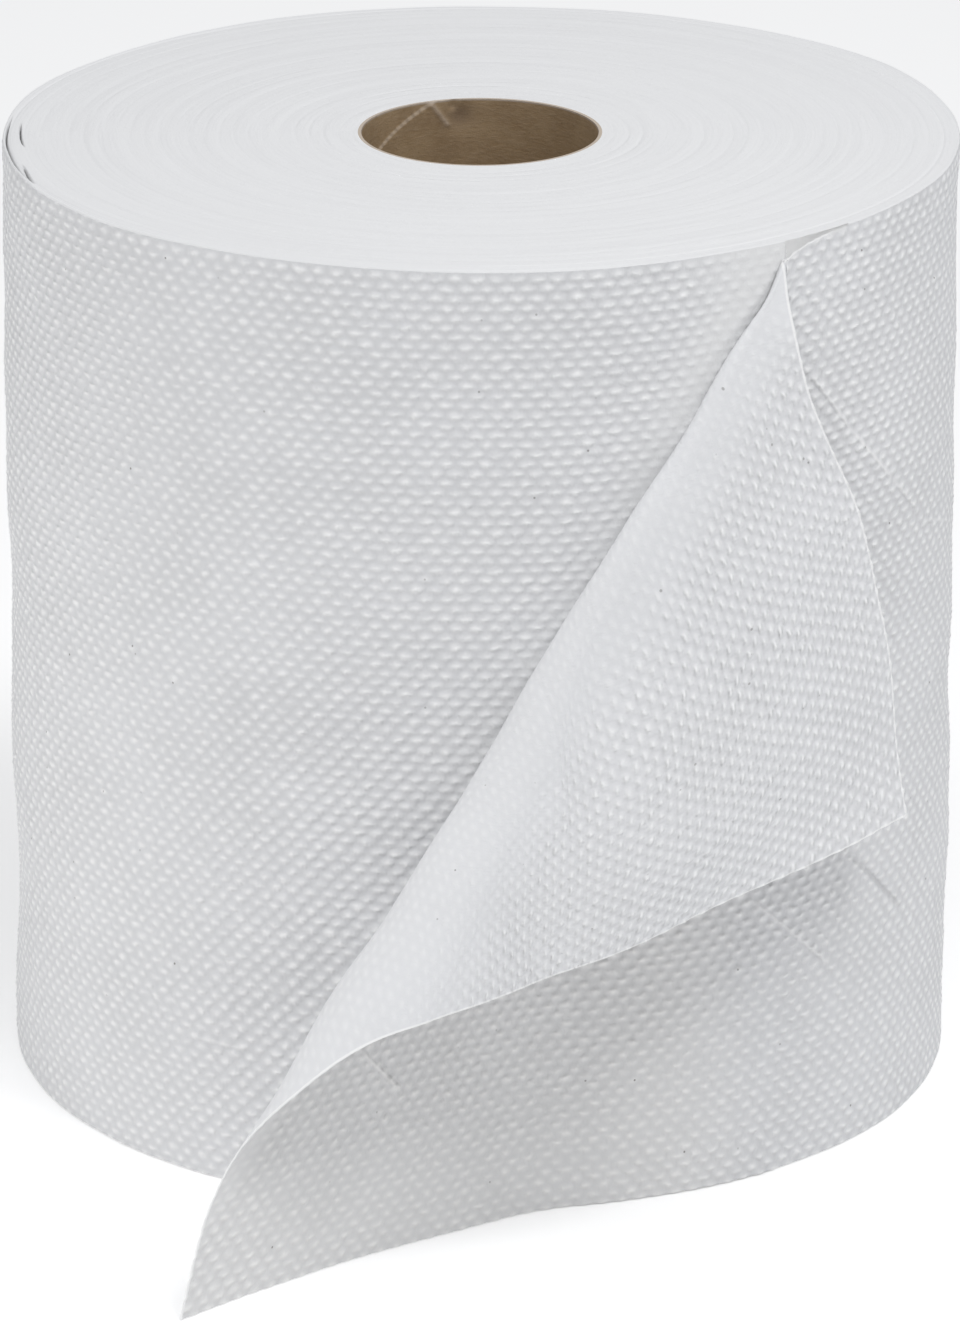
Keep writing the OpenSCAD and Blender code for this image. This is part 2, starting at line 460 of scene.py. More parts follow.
def cut_edge_highlight(tree, u, v, emboss, hanging):
    """Share of the painted highlight on the sheet's cut edges: along the top of the loose end, where it
    hangs, and at its end.
    """
    top = remap(tree, v, FLAT_W - 0.6, FLAT_W - 0.35, 0.0, 1.0)
    top = math_node(tree, "MULTIPLY", top, math_node(tree, "GREATER_THAN", u, 0.0))
    hung = math_node(tree, "MULTIPLY", remap(tree, hanging, 0.55, 0.75, 0.0, 1.0),
                     math_node(tree, "GREATER_THAN", emboss, -0.4))
    top = math_node(tree, "MAXIMUM", top, hung)
    return math_node(tree, "MAXIMUM", top, remap(tree, u, FLAT_L - 0.55, FLAT_L - 0.3, 0.0, 1.0))


def paper_side():
    """The embossed face of the sheet."""
    m, tree, bsdf = material("embossed_paper")
    u, v, emboss = split(tree, attribute(tree, "flat"))
    flat = joined(tree, u, v, 0.0)
    amount = math_node(tree, "MAXIMUM", emboss, 0.0)
    dot = fine_dots(tree, flat, u, v, amount)
    # Crepe lines run across the sheet, fibres lie every way
    crepe = noise(tree, vector_node(tree, "MULTIPLY", flat, (1.0, 0.16, 1.0)), 1.5, 3.0, 0.6)
    fibre = noise(tree, flat, 2.2, 3.0, 0.65)
    height = math_node(tree, "MULTIPLY", dot, FINE_DOT_H)
    height = math_node(tree, "ADD", height, math_node(tree, "MULTIPLY", crepe, CREPE_H))
    height = math_node(tree, "ADD", height, math_node(tree, "MULTIPLY", fibre, FIBRE_H))
    crease = all_creases(tree, flat)
    height = math_node(tree, "ADD", height, crease)
    normal = bump(tree, height)
    speck = specks(tree, flat)
    cloud = noise(tree, flat, 0.035, 3.0)
    cloud = remap(tree, cloud, 0.35, 0.65, 0.0, 1.0)
    base = mixed(tree, cloud, FACE_LOW, FACE_HIGH)
    base = mixed(tree, remap(tree, fibre, 0.35, 0.7, 0.10, 0.0), base, FACE_FIBRE)
    # Where the dots are pressed flat, the sheet is paler
    flattened = remap(tree, amount, 0.0, 1.0, 0.5, 0.0)
    on_roll = math_node(tree, "LESS_THAN", u, 0.0)
    pale = mixed(tree, on_roll, PRESSED_LOOSE, PRESSED_ROLL)
    base = mixed(tree, flattened, base, pale)
    # The dots' tops are paler: partly thicker paper, partly painted shade in the hollows between them
    base = mixed(tree, math_node(tree, "MULTIPLY", dot, 1.2, clamp=True), base, DOT_TOP_LIT_PAPER)
    # Painted highlight on the creases' ridges and painted shade in their valleys
    base = mixed(tree, math_node(tree, "MULTIPLY", crease, 2.6, clamp=True), base, RIDGE_HIGHLIGHT)
    base = mixed(tree, math_node(tree, "MULTIPLY", crease, -1.6, clamp=True), base, VALLEY_SHADE)
    base = mixed(tree, speck, base, SPECK)
    # The inner face, seen on the folded part, is a little whiter
    _, hanging, inner = split(tree, attribute(tree, "gap_shade_and_marks"))
    base = mixed(tree, math_node(tree, "MULTIPLY", inner, 0.18), base, INNER_FACE)
    # Painted warm bounce light from the floor: the outer face of the loose end, seen where it isn't folded,
    # is tinted a little warmer
    web_bounce = remap(tree, u, 0.0, 30.0, 0.0, 1.0, smooth=True)
    web_bounce = math_node(tree, "MULTIPLY", web_bounce, math_node(tree, "SUBTRACT", 1.0, inner))
    base = mixed(tree, web_bounce, base, vector_node(tree, "MULTIPLY", base, WEB_BOUNCE_TINT))
    # Painted highlight on the cut edges, where they catch the light
    base = mixed(tree, cut_edge_highlight(tree, u, v, emboss, hanging), base, CUT_EDGE_HIGHLIGHT)
    wire(tree, bsdf.inputs["Base Color"], base)
    wire(tree, bsdf.inputs["Roughness"], remap(tree, fibre, 0.3, 0.7, 0.78, 0.95))
    wire(tree, bsdf.inputs["Normal"], normal)
    bsdf.inputs["Specular IOR Level"].default_value = 0.25
    return m


def paper_ends():
    """The cut edges of the turns on the two ends of the roll."""
    m, tree, bsdf = material("wound_edges")
    place = tree.nodes.new("ShaderNodeTexCoord").outputs["Object"]
    xyz = split(tree, place)
    r = vector_node(tree, "LENGTH", joined(tree, xyz[0], xyz[1], 0.0))
    r = math_node(tree, "MULTIPLY", r, 1 / MM)
    angle = math_node(tree, "ARCTAN2", xyz[1], xyz[0])
    # The turns follow a spiral, so a ring's radius grows with the angle
    r = math_node(tree, "SUBTRACT", r, math_node(tree, "MULTIPLY", angle, TURN_PITCH / AROUND))
    turn = joined(tree, math_node(tree, "COSINE", angle), math_node(tree, "SINE", angle), r)
    fine = noise(tree, vector_node(tree, "MULTIPLY", turn, (2.0, 2.0, 1.9)), 1.0, 3.0, 0.6)
    band = noise(tree, vector_node(tree, "MULTIPLY", turn, (1.2, 1.2, 0.28)), 1.0, 2.0, 0.5)
    grain = noise(tree, vector_node(tree, "SCALE", place, scale=1 / MM), 1.1, 3.0, 0.7)
    height = math_node(tree, "MULTIPLY", fine, 0.07)
    height = math_node(tree, "ADD", height, math_node(tree, "MULTIPLY", band, 0.08))
    height = math_node(tree, "ADD", height, math_node(tree, "MULTIPLY", grain, 0.14))
    band = remap(tree, band, 0.3, 0.7, 0.0, 1.0)
    base = mixed(tree, band, ENDS_LOW, ENDS_HIGH)
    base = mixed(tree, remap(tree, fine, 0.25, 0.5, 0.16, 0.0), base, ENDS_LINE)
    # Painted shade in the gaps between the slack turns
    base = mixed(tree, split(tree, attribute(tree, "gap_shade_and_marks"))[0], base, ENDS_GAP_SHADE)
    wire(tree, bsdf.inputs["Base Color"], base)
    bsdf.inputs["Roughness"].default_value = 0.95
    bsdf.inputs["Specular IOR Level"].default_value = 0.15
    wire(tree, bsdf.inputs["Normal"], bump(tree, height))
    return m


def kraft():
    """Plain brown board, wound in a spiral."""
    m, tree, bsdf = material("kraft_board")
    place = vector_node(tree, "SCALE", tree.nodes.new("ShaderNodeTexCoord").outputs["Object"], scale=1 / MM)
    fibre = noise(tree, vector_node(tree, "MULTIPLY", place, (0.5, 0.5, 1.6)), 1.0, 4.0, 0.65)
    cloud = noise(tree, place, 0.09, 3.0, 0.5)
    fleck = noise(tree, place, 3.0, 2.0, 0.6)
    cloud = remap(tree, cloud, 0.35, 0.65, 0.0, 1.0)
    base = mixed(tree, cloud, BOARD_LOW, BOARD_HIGH)
    base = mixed(tree, remap(tree, fibre, 0.4, 0.7, 0.0, 0.35), base, BOARD_FIBRE)
    base = mixed(tree, remap(tree, fleck, 0.62, 0.75, 0.0, 0.5), base, BOARD_FLECK)
    rim, crease, dent = split(tree, attribute(tree, "marks"))
    xyz = split(tree, place)
    around = math_node(tree, "ARCTAN2", xyz[0], math_node(tree, "MULTIPLY", xyz[1], -1.0))
    around = math_node(tree, "DIVIDE", around, AROUND)
    depth = math_node(tree, "SUBTRACT", ROLL_H, xyz[2])
    below = math_node(tree, "SUBTRACT", math_node(tree, "DIVIDE", depth, SEAM_TURN), around)
    below = math_node(tree, "WRAP", math_node(tree, "ADD", below, SEAM_ANGLE / 360.0), 0.5, -0.5)
    seam = remap(tree, math_node(tree, "ABSOLUTE", below), 0.25 / SEAM_TURN, 0.6 / SEAM_TURN, 0.55, 0.0)
    base = mixed(tree, seam, base, BOARD_SEAM)
    base = mixed(tree, dent, base, BOARD_DENT)
    base = mixed(tree, crease, base, BOARD_CREASE)
    base = mixed(tree, rim, base, BOARD_RIM)
    wire(tree, bsdf.inputs["Base Color"], base)
    wire(tree, bsdf.inputs["Roughness"], remap(tree, fibre, 0.3, 0.7, 0.6, 0.85))
    bsdf.inputs["Specular IOR Level"].default_value = 0.3
    height = math_node(tree, "MULTIPLY", fibre, 0.10)
    height = math_node(tree, "ADD", height, math_node(tree, "MULTIPLY", fleck, 0.03))
    wire(tree, bsdf.inputs["Normal"], bump(tree, height))
    return m


SIDE = paper_side()
ENDS = paper_ends()
KRAFT = kraft()


# The wound roll
def through(values, q):
    """A smooth curve through values at even steps of q from 0 to 1."""
    values = np.asarray(values)
    n = len(values) - 1
    k = np.clip(np.floor(q * n).astype(int), 0, n - 1)
    slope = np.gradient(values)
    x = q * n - k
    return ((2 * x ** 3 - 3 * x ** 2 + 1) * values[k] + (x ** 3 - 2 * x ** 2 + x) * slope[k]
            + (3 * x ** 2 - 2 * x ** 3) * values[k + 1] + (x ** 3 - x ** 2) * slope[k + 1])


def fold_parts(u, v):
    """Distance along the fold, distance past its straight line, the line's bow, and the fold's radius."""
    t = u * math.cos(FOLD_A) - (v - FLAT_W) * math.sin(FOLD_A)
    d = u * math.sin(FOLD_A) + (v - FLAT_W) * math.cos(FOLD_A)
    bow = through(BOWS, np.clip(t / FOLD_L, 0, 1))
    r = np.maximum(FOLD_R * np.clip(t / FOLD_L, 0, 1), 1e-6)
    return t, d, bow, r


# Columns of the wound side's grid, all round and in the right half, and its rows
COLUMNS = 622
RIGHT_COLUMNS = 312
SIDE_ROWS = 198
# Columns and rows of the loose end's grid, and columns of the core's
SHEET_COLUMNS = 144
SHEET_ROWS = 198
CORE_COLUMNS = 288
S_ALL = AROUND * ROLL_R
S_LEAVE = (LEAVE + AROUND - APEX) * ROLL_R
# Roundness of the roll's rims, and the height over which the dots run out there
RIM = 0.3
RIM_FADE = 1.2
# The step that slopes are measured over, and the least hang that shows a wall
NEAR = 0.05
HUNG = 0.15
# What the ends' points hold as v and emboss: no dots show on a wall, and only a thin line of it, the cut
# edge, gets the painted highlight
END_V = 150.0
END_EMBOSS = -8.0
# Under the loose end the turn below is sunk and smooth
SUNK = 0.5
# Beside the fold, and round its point, the emboss is pressed flatter
BAND_W = 13.0
BAND_FLAT = 0.7
POINT_R = 24.0
POINT_FLAT = 0.75
# The last turns are slack at the back of the right side, most at the top
BULGE = 1.9
BULGE_AT = math.radians(122)
BULGE_W = math.radians(20)
BULGE_FROM = 95.0


def side_radius(s, z):
    """Radius of the wound side at length s round the back from the loose end, and its emboss share."""
    # Where the loose end still lies on the roll, the turn below is sunk; past the fold it shows
    _, d, bow, _ = fold_parts(S_ALL - s, z - INSET)
    covered = soft((-(d + bow) - 1) / 5)
    sunk = soft((s - (S_LEAVE - 4)) / 6) * covered
    emboss = 1 - soft((s - (S_LEAVE - 11)) / 6) * covered
    beside = soft(1 - np.abs(d + bow) / BAND_W) * soft((s - S_ALL + 90) / 60)
    emboss = np.minimum(emboss, 1 - BAND_FLAT * beside)
    corner = soft(1.25 - np.hypot(S_ALL - s, FLAT_W + INSET - z) / POINT_R)
    emboss = np.minimum(emboss, 1 - POINT_FLAT * corner)
    r = ROLL_R - SHEET_T * np.minimum(s / S_LEAVE, 1) - SUNK * sunk
    # The swells fade out at both ends of the length, where the side meets the loose end
    uneven = swell(-s, z) - swell(0.0, z) * np.exp(-s / 25.0)
    r = r + uneven * (1 - sunk) * (1 - np.exp((s - S_ALL) / 12.0))
    phi = APEX + s / ROLL_R
    bulge = BULGE * np.exp(-(((phi - BULGE_AT) / BULGE_W) ** 2))
    bulge = bulge * soft((z - BULGE_FROM) / (ROLL_H - BULGE_FROM))
    r = r + bulge + creased(-s, z - INSET) * (1 - sunk)
    return r, emboss


def hang_of(s):
    """How far the last sheet's edge hangs below the rim."""
    return (SAG - SAG_TIP) * np.exp(-s / SAG_ROLL) * soft((HANG_END - s) / HANG_FADE)


def hung_z(s, z):
    """Height of a row of the side, where the last sheet's edge hangs below the rim."""
    return z - hang_of(s) * z / (ROLL_H - RIM)


def side_point(s, z):
    """Point of the side at length s, at the height that z has once the edge hangs."""
    z = hung_z(s, z)
    r, emboss = side_radius(s, z)
    # The dots run out at the rims
    full = np.clip(np.minimum(z, ROLL_H - z) / RIM_FADE, 0, 1)
    r = r + DOT_H * emboss * dots(-s, z - INSET) * full
    phi = APEX + s / ROLL_R
    return np.stack([r * np.sin(phi), -r * np.cos(phi), z + 0 * s], -1)


def groove_depth(r, phi):
    """Depth of the spiral groove between turns on an end."""
    place = (r - TURN_R0) / TURN_PITCH - (phi / AROUND) % 1.0
    k = np.round(place)
    off = (place - k) * TURN_PITCH
    slack = k > TURN_COUNT - SLACK_TURNS
    depth = np.where(slack, SLACK_DEPTH * 0.2, TURN_DEPTH * (0.1 + 0.5 * chance(k, 0, 3)))
    return depth * np.exp(-((off / (0.5 * TURN_GAP)) ** 2)) * np.where(k <= TURN_COUNT, 1, 0)


def end_height(r, phi):
    """Height of an end at a radius and angle: the grooves and a slight unevenness from turn to turn."""
    h = -groove_depth(r, phi)
    for k, a in ((7, 0.04), (12, 0.03), (19, 0.02)):
        h = h + a * np.sin(k * r / 12.0 + 1.7 * k + 0.6 * np.sin(phi * 2 + k))
    return h


def gap_depth(off, phi):
    """Depth of the gaps on the top, at a distance in from the rim, and the share of painted shade in them.
    """
    depth = 0.0 * off
    gap_shade = 0.0 * off
    turn = np.degrees(phi)
    for a, b, off_a, off_b, deep, width in GAPS:
        t = (turn - a) / (b - a)
        ends = np.clip(6 * t * (1 - t), 0, 1)
        place = off_a + (off_b - off_a) * t
        fall = np.exp(-(((off - place) / (width * (0.4 + 0.6 * ends) + 0.02)) ** 2)) * ends
        depth = np.maximum(depth, deep * fall)
        gap_shade = np.maximum(gap_shade, 0.85 * fall)
    return depth, gap_shade


RING_OFFS = np.concatenate([[0.0, 0.12, 0.3, 0.45, 0.6, 0.75, 0.9, 1.05, 1.2], np.arange(1.4, 4.9, 0.2),
                            np.arange(5.0, 73.4, 0.6)])


def side_grid(s):
    """Points of the side, with their normals, places on the flat sheet and marks of the hanging edge."""
    z = np.linspace(RIM, ROLL_H - RIM, SIDE_ROWS + 1)
    S, Z = np.meshgrid(s, z, indexing="ij")
    P = side_point(S, Z)
    du = side_point(S + NEAR, Z) - side_point(S - NEAR, Z)
    dv = side_point(S, Z + NEAR) - side_point(S, Z - NEAR)
    N = unit(np.cross(du, dv))
    Z = hung_z(S, Z)
    emboss = side_radius(S, Z)[1]
    hang = hang_of(s)
    emboss[hang > HUNG, -1] = 0
    mark = np.zeros(P.shape)
    mark[:, -1, 1] = np.clip(hang / 0.5, 0, 1)
    return P, N, np.stack([-S, Z - INSET, emboss], -1), mark


def end_rings(rim_r, phi, top):
    """Points of an end from its rim to the bore, with normals, flat places and the share of painted shade
    in the gaps.
    """
    offs = RING_OFFS if top else RING_OFFS[::6]
    offs = offs[offs < ROLL_R - CORE_OUT_R - 0.6]
    share = np.append(offs / (ROLL_R - CORE_OUT_R), 1.0)
    rim = rim_r[:, None]
    rr = rim - (rim - CORE_OUT_R) * share[None]
    ph = np.repeat(phi[:, None], len(share), 1)

    def height(r, p):
        h = end_height(r, p)
        off = np.clip((rim - r) / RIM, 0, 1)
        h = h * soft(rim - r) * soft(r - CORE_OUT_R)
        if top:
            h = h - gap_depth(rim - r, p)[0]
        return h - RIM * (1 - np.sqrt(np.clip(1 - (1 - off) ** 2, 0, 1)))

    h = height(rr, ph)
    turn = NEAR / 50
    dr = (height(rr + NEAR, ph) - height(rr - NEAR, ph)) / (2 * NEAR)
    dp = (height(rr, ph + turn) - height(rr, ph - turn)) / (2 * turn * rr)
    dr = np.clip(dr, -1.5, 1.5)
    radial = np.stack([np.sin(ph), -np.cos(ph), 0 * ph], -1)
    along = np.stack([np.cos(ph), np.sin(ph), 0 * ph], -1)
    n = unit(np.array([0.0, 0.0, 1.0]) - dr[..., None] * radial - dp[..., None] * along)
    xyz = radial * rr[..., None]
    xyz[..., 2] = ROLL_H + h if top else -h
    if not top:
        n[..., 2] *= -1
    gap_shade = gap_depth(rim - rr, ph)[1] if top else 0 * ph
    flat = np.stack([-(ph - APEX) * ROLL_R, 0 * ph + END_V, 0 * ph + END_EMBOSS], -1)
    return xyz, n, flat, np.stack([gap_shade, 0 * gap_shade, 0 * gap_shade], -1)


def wound_half(name, c0, c1):
    """Half of the wound roll: its side, its ends, the wall of the bore and a wall at each cut."""
    s = np.arange(c0, c1 + 1) * (S_ALL / COLUMNS)
    n_rows = SIDE_ROWS + 1
    grid = side_grid(s)
    P = grid[0]
    # Points, normals, flat places and marks, piece by piece
    parts = [[values.reshape(-1, 3)] for values in grid]
    a = (np.arange(len(s) - 1)[:, None] * n_rows + np.arange(SIDE_ROWS)[None]).ravel()
    faces = np.stack([a, a + n_rows, a + n_rows + 1, a + 1], 1).tolist()
    slots = [0] * len(faces)
    start = len(s) * n_rows
    # The two ends, on every second column
    half = np.arange(0, len(s), 2)
    phi = APEX + s[half] / ROLL_R
    ends = {}
    for top in (True, False):
        row = SIDE_ROWS if top else 0
        low = (ROLL_H - RIM - P[half, row, 2]) * top
        rim_r = np.linalg.norm(P[half, row, :2], axis=-1) - SHEET_T * soft(low)
        rings = end_rings(rim_r, phi, top)
        # The first ring is the side's own last row
        m = rings[0].shape[1] - 1
        index = np.empty((len(half), m + 1), int)
        index[:, 0] = half * n_rows + row
        index[:, 1:] = start + np.arange(len(half) * m).reshape(len(half), m)
        start += len(half) * m
        for part, values in zip(parts, rings):
            part.append(values[:, 1:].reshape(-1, 3))
        q = np.stack([index[:-1, :-1], index[1:, :-1], index[1:, 1:], index[:-1, 1:]], -1)
        if top:
            # Where the side's edge hangs, the first faces are the wall of the turn below it
            hung = low > HUNG
            wall = {tuple(f) for f in q[hung[:-1] | hung[1:], 0].tolist()}
        q = q.reshape(-1, 4)
        faces += (q if top else q[:, ::-1]).tolist()
        slots += [1] * len(q)
        ends[top] = index
    a, b = ends[True][:, -1], ends[False][:, -1]
    bore = np.stack([a[:-1], a[1:], b[1:], b[:-1]], 1)
    faces += bore.tolist()
    slots += [1] * len(bore)
    points, normals, flats, marks = (np.concatenate(part) for part in parts)
    loops = []
    for n, f in enumerate(faces):
        if tuple(f) in wall:
            slots[n] = 0
            loops += [tuple(unit(points[i] * np.array([1.0, 1.0, 0.0]))) for i in f]
        else:
            loops += [tuple(normals[i]) for i in f]
    for k, way in ((0, -1.0), (len(half) - 1, 1.0)):
        ring = list(half[k] * n_rows + np.arange(n_rows))
        ring += list(ends[True][k, 1:]) + list(ends[False][k, ::-1][:-1])
        ring = [int(x) for x in ring]
        faces.append(ring[::-1] if way > 0 else ring)
        slots.append(1)
        loops += [(way * math.cos(phi[k]), way * math.sin(phi[k]), 0.0)] * len(ring)
    return new_mesh(name, points, faces, slots, [SIDE, ENDS], loops, {"flat": flats, "gap_shade_and_marks": marks})


# The loose end, folded over at its upper corner
def plan(u):
    """Place and heading on the plan curve of the outer face."""
    phi = APEX - u / ROLL_R
    x, y, h = ROLL_R * np.sin(phi), -ROLL_R * np.cos(phi), phi

    def arc(x0, y0, h0, turn, length, s):
        p = h0 + turn * s / length
        k = length / turn
        return x0 - k * (np.sin(p) - math.sin(h0)), y0 + k * (np.cos(p) - math.cos(h0)), p

    x0, y0 = ROLL_R * math.sin(LEAVE), -ROLL_R * math.cos(LEAVE)
    s = np.clip(u - HUG, 0, BEND_LEN)
    x1, y1, p1 = arc(x0, y0, LEAVE, BEND, BEND_LEN, s)
    m = u > HUG
    x, y, h = np.where(m, x1, x), np.where(m, y1, y), np.where(m, p1, h)
    xe, ye, pe = arc(x0, y0, LEAVE, BEND, BEND_LEN, BEND_LEN)
    m = u > HUG + BEND_LEN
    x2, y2, p2 = arc(xe, ye, pe, REACH_TURN, REACH, u - HUG - BEND_LEN)
    return np.where(m, x2, x), np.where(m, y2, y), np.where(m, p2, h)


def sheet_base(u, v, o):
    """Place of the flat point at depth o below the outer face, before emboss."""
    t, d, bow, r = fold_parts(u, v)
    turn = np.clip((d + bow) / r, 0, math.pi)
    over = np.maximum(d + bow - math.pi * r, 0)
    shift = through(SHIFTS, np.clip(t / FOLD_L, 0, 1)) * soft(over / SLIP_RAMP)
    folded = (r + o) * np.sin(turn) - over - bow + shift
    side = np.where(d + bow > 0, folded, d)
    along = t - CORNER_SLIP * soft(over / SLIP_RAMP)
    bu = along * math.cos(FOLD_A) + side * math.sin(FOLD_A)
    bv = FLAT_W - along * math.sin(FOLD_A) + side * math.cos(FOLD_A)
    lift = CORNER_LIFT * soft(over / LIFT_RAMP) * np.exp(-(((bu - LIFT_PLACE) / LIFT_LEN) ** 2))
    lift = lift + EDGE_LIFT * soft(1 - (FLAT_W - v) / EDGE_LIFT_W) * soft(over / 8)
    out = r - (r + o) * np.cos(turn) + lift
    far = np.hypot(u, v - FLAT_W)
    sag = SAG * soft(1 - far / SAG_LEN) - SAG_TIP * np.exp(-((far / SAG_TIP_LEN) ** 2))
    free = soft(over / FREE_RAMP)
    near = [plan(bu + k) for k in range(-FREE_REACH, FREE_REACH + 1, 8)]
    x, y, h = (a + (sum(part) / len(part) - a) * free for a, part in zip(plan(bu), zip(*near)))
    out = out + FREE_OUT * free
    back = LEAN * bv * soft((bu - HUG) / (FLAT_L - HUG))
    return np.stack([
        x + out * np.sin(h) + back * math.cos(LEAN_DIR),
        y - out * np.cos(h) + back * math.sin(LEAN_DIR),
        bv + INSET - sag,
    ], -1)


def sheet_emboss(u, v):
    """Share of the emboss left at a flat point: less in and beside the fold, and at its point."""
    t, d, bow, r = fold_parts(u, v)
    past = d + bow
    in_fold = soft((past + 4) / 6) * (1 - soft((past - math.pi * r) / 16))
    web = 0.22 * soft(-past / 10) * soft(u / 20)
    return (1 - 0.62 * in_fold - web) * soft(t / 14)


def sheet_relief(u, v):
    """Height of the dots, swells and creases on the outer face of the loose end."""
    _, d, bow, r = fold_parts(u, v)
    past = d + bow
    still = 1 - np.exp(-np.maximum(u, 0) / 25.0)
    wave = swell(u, v) * still
    free = soft((past - math.pi * r) / 25)
    extra = 0.35 * free * np.sin(u * 0.13 + v * 0.05) + 0.3 * free * np.sin(v * 0.11 - u * 0.06 + 1.0)
    # Both faces show raised dots, so on the folded part they stand towards the inner face
    way = 1 - 2.3 * soft((past - 0.8 * math.pi * r) / 12) - 0.5 * soft((past - math.pi * r - 10) / 50)
    return DOT_H * way * sheet_emboss(u, v) * dots(u, v) + wave + extra + creased(u, v)


def sheet_normal(u, v, o):
    """The two directions along the sheet, and its normal, before emboss."""
    e = NEAR
    tu = (sheet_base(u + e, v, o) - sheet_base(u - e, v, o)) / (2 * e)
    tv = (sheet_base(u, v + e, o) - sheet_base(u, v - e, o)) / (2 * e)
    return tu, tv, unit(np.cross(tv, tu))


def sheet_layer(u, v, o):
    """Points and normals of one face of the loose end, with its relief."""
    tu, tv, n = sheet_normal(u, v, o)
    h = sheet_relief(u, v)
    e = NEAR
    hu = (sheet_relief(u + e, v) - sheet_relief(u - e, v)) / (2 * e)
    hv = (sheet_relief(u, v + e) - sheet_relief(u, v - e)) / (2 * e)
    au = unit(tu)
    av = unit(tv)
    shaded = unit(n - hu[..., None] * au - hv[..., None] * av)
    return sheet_base(u, v, o) + n * h[..., None], shaded


def loose_end():
    """The loose end as a thin shell: its outer face, its inner face and its four edges."""
    nu, nv = SHEET_COLUMNS, SHEET_ROWS
    step = FLAT_L / nu
    v = np.linspace(0, FLAT_W, nv + 1)
    fine = np.linspace(-40, FLAT_L + 40, 8000)
    U = np.empty((nu + 1, nv + 1))
    # On each row, one column is moved onto the fold's crest and its neighbours part of the way
    for j in range(nv + 1):
        _, d, bow, r = fold_parts(fine, np.full_like(fine, v[j]))
        crest = d + bow - math.pi * r / 2
        um = float(np.interp(0.0, crest, fine))
        grid = np.arange(nu + 1) * step
        if 0 < um < FLAT_L:
            c = int(round(um / step))
            shift = (um - c * step) * np.maximum(0, 1 - np.abs(np.arange(nu + 1) - c) / 4)
            shift[0] = shift[-1] = 0
            grid = grid + shift
        U[:, j] = grid
    V = np.repeat(v[None], nu + 1, 0)
    outer, n_out = sheet_layer(U, V, 0.0)
    inner, n_in = sheet_layer(U, V, SHEET_T)
    emboss = sheet_emboss(U, V)
    count = (nu + 1) * (nv + 1)
    points = np.concatenate([outer.reshape(-1, 3), inner.reshape(-1, 3)])
    normals = np.concatenate([n_out.reshape(-1, 3), -n_in.reshape(-1, 3)])
    flat = np.stack([U, V, emboss], -1).reshape(-1, 3)
    flats = np.concatenate([flat, flat])
    i, j = np.meshgrid(np.arange(nu), np.arange(nv), indexing="ij")
    a = (i * (nv + 1) + j).ravel()
    b = a + nv + 1
    tris = np.concatenate([np.stack([a, a + 1, b], 1), np.stack([b, a + 1, b + 1], 1)])
    faces = tris.tolist() + (tris[:, ::-1] + count).tolist()
    loops = [tuple(normals[k]) for f in faces for k in f]

    def rim(ids):
        for p, q in zip(ids[:-1], ids[1:]):
            ring = [int(p), int(q), int(q) + count, int(p) + count]
            a, b, c, d = (points[k] for k in ring)
            n = tuple(unit(np.cross(c - a, d - b)))
            faces.append(ring)
            loops.extend([n] * 4)

    # The sheet's four edges
    cols = np.arange(nu + 1) * (nv + 1)
    rim(cols)
    rim(cols[-1] + np.arange(nv + 1))
    rim((cols + nv)[::-1])
    rim(np.arange(nv + 1)[::-1])
    inner_mark = np.zeros(points.shape)
    inner_mark[count:, 2] = 1
    return new_mesh("loose_end", points, faces, [0] * len(faces), [SIDE], loops,
                    {"flat": flats, "gap_shade_and_marks": inner_mark})


